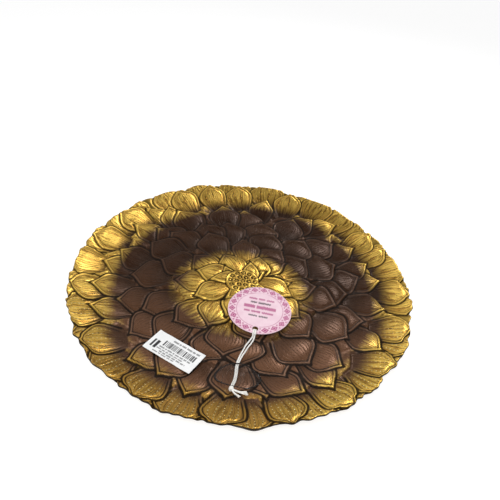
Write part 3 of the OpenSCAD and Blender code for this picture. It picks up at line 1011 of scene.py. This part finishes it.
def brass_material():
    made, tree, shader = new_material("antique_brass")
    gold, line, inset = (attribute(tree, name) for name in ("gold", "line", "inset"))
    v, t, tone = (attribute(tree, name) for name in ("vein_v", "vein_t", "tone"))
    cloud = noise(tree, 45, 3)
    grain = noise(tree, 1500, 3)
    # Near side's share, mottled: it paints light and shade towards -Y and places the punched dots
    near_side = times(attribute(tree, "near_side"), ramp(cloud, 0.2, 0.8, 0.8, 1.2))
    # Brush strands run along each petal
    apart = times(tone, 40.0)
    strand = strand_noise(v, t, apart, 7.0, 0.07, 4.0)
    vein = petal_veins(v, t, inset, apart, strand)
    share = gold_share(gold, strand)
    bead = times(ramp(inset, 0.0, 0.7), ramp(inset, 2.2, 1.5))
    # Gold is worn bright on the bead and the strands; painted shade darkens its edge, its base and the gold
    # shade
    wear_and_shade = times(ramp(strand, 0.36, 0.56), ramp(inset, 2.0, 8.0, 0.6, 1.0))
    wear_and_shade = calc("MAXIMUM", wear_and_shade, times(bead, 0.9))
    wear_and_shade = times(wear_and_shade, ramp(t, 30.0, 12.0, 0.45, 1.0))
    wear_and_shade = times(wear_and_shade, ramp(attribute(tree, "gold_shade"), 0.0, 1.0, 1.0, 0.2))
    bright = mix(wear_and_shade, GOLD_DEEP, GOLD_BRIGHT)
    # Brown lacquer, lighter towards -Y as painted light and by petal tone at random
    shade = calc("ADD", near_side, times(tone, 0.12), True)
    brown = mix(shade, BROWN_DEEP, BROWN_LIT)
    # Rub wear lightens the bead, with a painted highlight that grows towards -Y
    rubbed_and_lit = times(bead, ramp(near_side, 0.0, 1.0, 0.2, 0.6))
    brown = mix(rubbed_and_lit, brown, BROWN_WEAR_AND_HIGHLIGHT)
    tint = mix(share, brown, bright)
    inked = times(vein, ramp(share, 0.0, 1.0, 0.4, 0.55))
    tint = mix(inked, tint, PATINA_AND_SHADE)
    # Punched dots show on the gold of the near side, painted pale as glints
    dots = punched_dots(v, t, inset)
    dots = times(dots, times(share, ramp(near_side, 0.2, 0.7)))
    tint = mix(times(dots, 0.75), tint, DOT_GLINT_GOLD)
    # Painted shade darkens a petal towards its base, where the next tier covers it
    base_shade = times(ramp(t, 12.0, 34.0, 0.0, 0.5), ramp(share, 0.0, 1.0, 1.0, 0.35))
    tint = mix(base_shade, tint, PATINA_AND_SHADE)
    # Patina in the drawn lines, which are drawn wider towards -Y as painted shade
    drawn = times(line, ramp(near_side, 0.0, 1.0, 0.93, 1.35))
    tint = mix(ramp(drawn, 0.18, 0.78, 0.0, 0.95), tint, PATINA_AND_SHADE)
    metal = ramp(share, 0.0, 1.0, 0.3, 0.85)
    rough = calc("ADD", ramp(strand, 0.3, 0.7, 0.24, 0.34), times(line, 0.3))
    feed(shader, {"Base Color": tint, "Metallic": metal, "Roughness": rough, "Specular IOR Level": 0.16})
    relief = calc("SUBTRACT", times(grain, 0.03), vein)
    relief = calc("ADD", relief, times(strand, 0.5))
    relief = calc("ADD", relief, dots)
    bump(shader, relief, 0.0003, 0.6)
    return made


make_tray()


# Printed sheets: a closed slab of paper, with each ink as a share at its points


def paper_material(name, low, high, roughness, inks):
    made, tree, shader = new_material(name)
    cloud = noise(tree, 130, 4)
    fibre = noise(tree, 2600, 4, 0.7)
    tint = mix(ramp(cloud, 0.35, 0.65), low, high)
    for ink, colour in inks.items():
        tint = mix(attribute(tree, ink), tint, colour)
    rough = ramp(fibre, 0.3, 0.7, roughness - 0.08, roughness + 0.08)
    feed(shader, {"Base Color": tint, "Roughness": rough})
    bump(shader, fibre, 0.00003, 0.4)
    return made


def closed_sheet(flat, z, faces, borders, thickness):
    """Points and faces of a thin sheet: an upper skin, a lower one and the edges between them."""
    points = np.vstack([np.column_stack([flat, z + thickness]), np.column_stack([flat, z])])
    base = len(flat)
    made = list(faces) + [tuple(base + i for i in ids[::-1]) for ids in faces]
    for border in borders:
        for i, j in zip(border, border[1:] + border[:1]):
            made.append((i, base + i, base + j, j))
    return points, made


def rounded_grid(width, depth, radius, step):
    """Grid points of a rectangle with round corners, its faces and its border."""
    xs = np.linspace(-width / 2, width / 2, int(round(width / step)) + 1)
    ys = np.linspace(-depth / 2, depth / 2, int(round(depth / step)) + 1)
    x, y = np.meshgrid(xs, ys)
    dx = np.maximum(np.abs(x) - width / 2 + radius, 0)
    dy = np.maximum(np.abs(y) - depth / 2 + radius, 0)
    pull = np.maximum(dx, dy) / np.maximum(np.hypot(dx, dy), 1e-9)
    x, y = x - np.sign(x) * dx * (1 - pull), y - np.sign(y) * dy * (1 - pull)
    ids = np.arange(x.size).reshape(x.shape)
    corners = [ids[:-1, :-1], ids[:-1, 1:], ids[1:, 1:], ids[1:, :-1]]
    faces = [tuple(f) for f in np.stack(corners, axis=-1).reshape(-1, 4).tolist()]
    border = np.concatenate([ids[0, :-1], ids[:-1, -1], ids[-1, :0:-1], ids[:0:-1, 0]]).tolist()
    return np.column_stack([x.ravel(), y.ravel()]), faces, border


def bar(x, y, x0, x1, y0, y1):
    """Share of ink at points of a printed bar with soft edges."""
    within_x = smooth_step(x0 - INK_SOFT, x0 + INK_SOFT, x) * smooth_step(x1 + INK_SOFT, x1 - INK_SOFT, x)
    above = smooth_step(y0 - INK_SOFT, y0 + INK_SOFT, y)
    return within_x * above * smooth_step(y1 + INK_SOFT, y1 - INK_SOFT, y)


def word_strokes(x, depth):
    """Darker and lighter strokes along a line of print."""
    return 1 - depth + depth * np.sin(2 * np.pi * x / STROKE_STEP)


def place_flat(points, turn_deg, slope_deg, at):
    a, s = math.radians(turn_deg), math.radians(slope_deg)
    tilt = np.array([[1, 0, 0], [0, math.cos(s), -math.sin(s)], [0, math.sin(s), math.cos(s)]])
    spin = np.array([[math.cos(a), -math.sin(a), 0], [math.sin(a), math.cos(a), 0], [0, 0, 1]])
    return points @ (spin @ tilt).T + np.asarray(at)


def make_sheet(name, points, faces, inks, body, material):
    """A sheet as a piece, its inks on the upper skin only."""
    piece = make_piece(name, points, faces, body, material, smooth=False)
    for ink, share in inks.items():
        set_attribute(piece, ink, np.concatenate([share, np.zeros(len(points) - len(share))]))
    return piece


# Price label with plain bars for its lines of print


def label_print(x, y):
    draw = np.random.default_rng(PRINT_SEED)
    ink = np.zeros_like(x)
    at = CODE_SPAN[0]
    while at < CODE_SPAN[1]:
        wide = draw.choice(CODE_BARS)
        ink = np.maximum(ink, bar(x, y, at, at + wide, *CODE_ROWS))
        at += wide + draw.choice(CODE_GAPS)
    strokes = word_strokes(x, LABEL_STROKES)
    for middle, tall, x0, x1 in LABEL_LINES:
        at = x0
        while at < x1:
            end = min(at + draw.uniform(*WORD_SPAN), x1)
            ink = np.maximum(ink, strokes * bar(x, y, at, end, middle - tall / 2, middle + tall / 2))
            at = end + WORD_GAP
    for middle, wide in LABEL_STUBS:
        ink = np.maximum(ink, bar(x, y, middle - wide / 2, middle + wide / 2, *STUB_ROWS))
    return ink


def make_label():
    flat, faces, border = rounded_grid(LABEL_L, LABEL_W, LABEL_CORNER, LABEL_GRID)
    x, y = flat[:, 0], flat[:, 1]
    z = RIPPLE_H * np.sin(RIPPLE_X * x + RIPPLE_SHIFT) * np.cos(RIPPLE_Y * y)
    z = z + END_LIFT * (np.abs(x) / (LABEL_L / 2)) ** END_POWER
    points, faces = closed_sheet(flat, z, faces, [border], LABEL_T)
    a = math.radians(LABEL_A)
    at = (LABEL_R * math.cos(a), LABEL_R * math.sin(a), LABEL_Z)
    points = place_flat(points, LABEL_A - 90, LABEL_SLOPE, at)
    paper = paper_material("white_paper", PAPER_SHADE, PAPER_LIGHT, PAPER_ROUGH, {"print": GREY_INK})
    inks = {"print": label_print(-x, -y)}
    piece = make_sheet("label", points, faces, inks, "tray", paper)
    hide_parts("price_label")


make_label()


# Swing tag: card with a generic ring of lozenges and plain bars for its lines of words


def tag_print(x, y):
    r, a = np.hypot(x, y), np.arctan2(y, x)
    turns = a / (2 * np.pi) * LOZENGES
    pitch = 2 * np.pi * RING_R / LOZENGES
    along = (turns - np.floor(turns) - 0.5) * pitch
    between = (turns - np.rint(turns)) * pitch
    diamond = np.abs(along) / LOZENGE[0] + np.abs(r - RING_R) / LOZENGE[1]
    pink = smooth_step(*LOZENGE_EDGE, diamond) * (1 - LOZENGE_PALE * bell(diamond, *LOZENGE_LINE))
    for ring in (RING_R + SPECK_AT, RING_R - SPECK_AT):
        speck = smooth_step(SPECK_R + INK_SOFT, SPECK_R - INK_SOFT, np.hypot(between, r - ring))
        pink = np.maximum(pink, SPECK_INK * speck)
    for place, wide, ink in THIN_RINGS:
        pink = np.maximum(pink, ink * bell(r, RING_R + place, wide))
    inks = {"pink": pink, "grey": np.zeros_like(x)}
    strokes = word_strokes(x, TAG_STROKES)
    for ink, middle, tall, spans in TAG_LINES:
        for x0, x1 in spans:
            share = strokes * bar(x, y, x0, x1, middle - tall / 2, middle + tall / 2)
            inks[ink] = np.maximum(inks[ink], share)
    near, clear = HOLE_MARGIN
    inks["pink"] = inks["pink"] * smooth_step(HOLE_R + near, HOLE_R + clear, np.hypot(x, y + HOLE_Y))
    return inks


def make_tag():
    a = round_angles(TAG_SIDES)
    circle = np.column_stack([np.cos(a), np.sin(a)])
    hole = np.array([0.0, -HOLE_Y]) + HOLE_R * circle
    flat = np.vstack([hole + (TAG_R * circle - hole) * s for s in np.linspace(0, 1, TAG_RINGS)])
    x, y = flat[:, 0], flat[:, 1]
    z = WARP_H * smooth_step(*WARP_Y, y) * np.cos(WARP_X * x + WARP_SHIFT)
    outer = list(range((TAG_RINGS - 1) * TAG_SIDES, TAG_RINGS * TAG_SIDES))
    inner = list(range(TAG_SIDES - 1, -1, -1))
    points, faces = closed_sheet(flat, z, even_rings(TAG_RINGS, TAG_SIDES), [outer, inner], TAG_T)
    points = place_flat(points, TAG_TURN, 0.0, (*TAG_AT, TAG_Z))
    colours = {"pink": PINK_INK, "grey": GREY_INK}
    card = paper_material("pink_card", CARD_SHADE, CARD_LIGHT, CARD_ROUGH, colours)
    piece = make_sheet("tag", points, faces, tag_print(x, y), "tag", card)
    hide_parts("swing_tag")


make_tag()


def make_loop():
    """The string's loop through the tag's hole, over and under the card's margin."""
    far, near = HOLE_Y + HOLE_R - LOOP_CLEAR, TAG_R + LOOP_CLEAR
    b = round_angles(LOOP_STEPS)
    y = -(far + near) / 2 + np.cos(b) * (near - far) / 2
    z = TAG_T / 2 + np.sin(b) * (TAG_T / 2 + LOOP_CLEAR)
    path = np.column_stack([0 * b, y, z])
    strands = [yarn(path + np.array([side, 0.0, 0.0]), LOOP_R, closed=True) for side in (-LOOP_R, LOOP_R)]
    points, faces = join(strands)
    points = place_flat(points, TAG_TURN, 0.0, (*TAG_AT, TAG_Z))
    piece = make_piece("loop", points, faces, "tag", COTTON)
    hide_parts("string_loop")


make_loop()


# Clear seal: film pressed over the petals and tented over the string


def film_material():
    made, tree, shader = new_material("clear_film")
    edge = attribute(tree, "edge")
    tint = mix(edge, FILM_CLEAR, FILM_DARK)
    cover = ramp(edge, 0.0, 1.0, 0.05, 0.92)
    feed(shader, {"Base Color": tint, "Alpha": cover, "Roughness": 0.2, "Specular IOR Level": 0.25})
    return made


def bridged():
    """The petals' relief as a film lies on it: the highest place near each point, smoothed."""
    reach = int(round(FILM_REACH / GRID_STEP))
    high = PETALS["relief"]
    for axis in (0, 1):
        high = np.max([np.roll(high, k, axis=axis) for k in range(-reach, reach + 1)], axis=0)
    return soften(high, FILM_REACH)


def film_height(flat):
    """Underside of the film: on the petals, or higher where it bridges the string."""
    x, y = flat[:, 0], flat[:, 1]
    PETALS["film"] = bridged()
    lying = ground(np.hypot(x, y)) + on_grid("film", x, y) + FILM_GAP
    string = spline(STRING_ROUTE, TENT_STEP)
    gap = np.linalg.norm(flat[:, None, :] - string[None, :, :2], axis=2)
    top = string[gap.argmin(axis=1), 2] + STRING_R
    tent = top + TENT_GAP - TENT_FALL * np.maximum(gap.min(axis=1) - TENT_FLAT, 0) ** 2
    return np.maximum(lying, tent)


def make_seal():
    shares = np.concatenate([np.linspace(*INNER_RINGS), OUTER_RINGS])
    a = round_angles(SEAL_SIDES)
    oval = np.column_stack([np.cos(a) * SEAL_SIZE[0] / 2, np.sin(a) * SEAL_SIZE[1] / 2])
    flat = np.vstack([oval * s for s in shares]) + np.asarray(SEAL_AT)
    faces = even_rings(len(shares), SEAL_SIDES) + [tuple(range(SEAL_SIDES))]
    border = list(range(len(flat) - SEAL_SIDES, len(flat)))
    points, faces = closed_sheet(flat, film_height(flat), faces, [border], FILM_T)
    piece = make_piece("seal", points, faces, "tray", film_material())
    edge = smooth_step(*DARK_EDGE, np.repeat(shares, SEAL_SIDES))
    set_attribute(piece, "edge", np.concatenate([edge, edge]))
    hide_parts("clear_seal")


make_seal()


# Stage


def grey(level):
    return (level, level, level)


def make_stage():
    mesh = bpy.data.meshes.new("floor")
    corners = [(-1, -1), (1, -1), (1, 1), (-1, 1)]
    mesh.from_pydata([(x * FLOOR_HALF, y * FLOOR_HALF, FLOOR_Z) for x, y in corners], [], [(0, 1, 2, 3)])
    floor = bpy.data.objects.new("floor", mesh)
    scene.collection.objects.link(floor)
    made, tree, shader = new_material("floor")
    feed(shader, {"Base Color": (*grey(FLOOR_GREY), 1.0), "Roughness": 0.9, "Specular IOR Level": 0.0})
    # It glows only where it is looked at, also by reflection or through the film
    path = add(tree, "LightPath").outputs
    seen = calc("ADD", path["Is Camera Ray"], path["Is Glossy Ray"], True)
    seen = calc("ADD", seen, path["Is Transmission Ray"], True)
    feed(shader, {"Emission Color": (1.0, 1.0, 1.0, 1.0), "Emission Strength": times(seen, FLOOR_GLOW)})
    mesh.materials.append(made)


def make_lamp(name, place, size, watts):
    """A round lamp that points at the middle of the tray."""
    data = bpy.data.lights.new(name, "AREA")
    data.energy = watts
    data.shape = "DISK"
    data.size = size
    lamp = bpy.data.objects.new(name, data)
    scene.collection.objects.link(lamp)
    lamp.location = place
    lamp.rotation_mode = "QUATERNION"
    lamp.rotation_quaternion = (-Vector(place)).to_track_quat("-Z", "Y")


def make_world():
    world = bpy.data.worlds.new("world")
    world.use_nodes = True
    scene.world = world
    tree = world.node_tree
    shade = tree.nodes["Background"]
    way = add(tree, "TexCoord").outputs["Generated"]
    axes = add(tree, "SeparateXYZ", {0: way}).outputs
    up = axes["Z"]
    tint = grey(WORLD_LOW)
    for limits, level in WORLD_BANDS:
        tint = mix(ramp(up, *limits), tint, grey(level))
    # A soft window low on the left lights the rim's near right
    window = times(ramp(up, *WINDOW_UP[0]), ramp(up, *WINDOW_UP[1]))
    window = times(window, ramp(axes["X"], *WINDOW_X))
    tint = mix(window, tint, grey(WINDOW_GREY))
    tint = mix(ramp(up, *HORIZON_UP), tint, grey(HORIZON_GREY))
    feed(shade, {"Color": tint, "Strength": 1.0})


make_stage()
for lamp_values in LAMPS:
    make_lamp(*lamp_values)
make_world()
scene.view_settings.view_transform = "Standard"
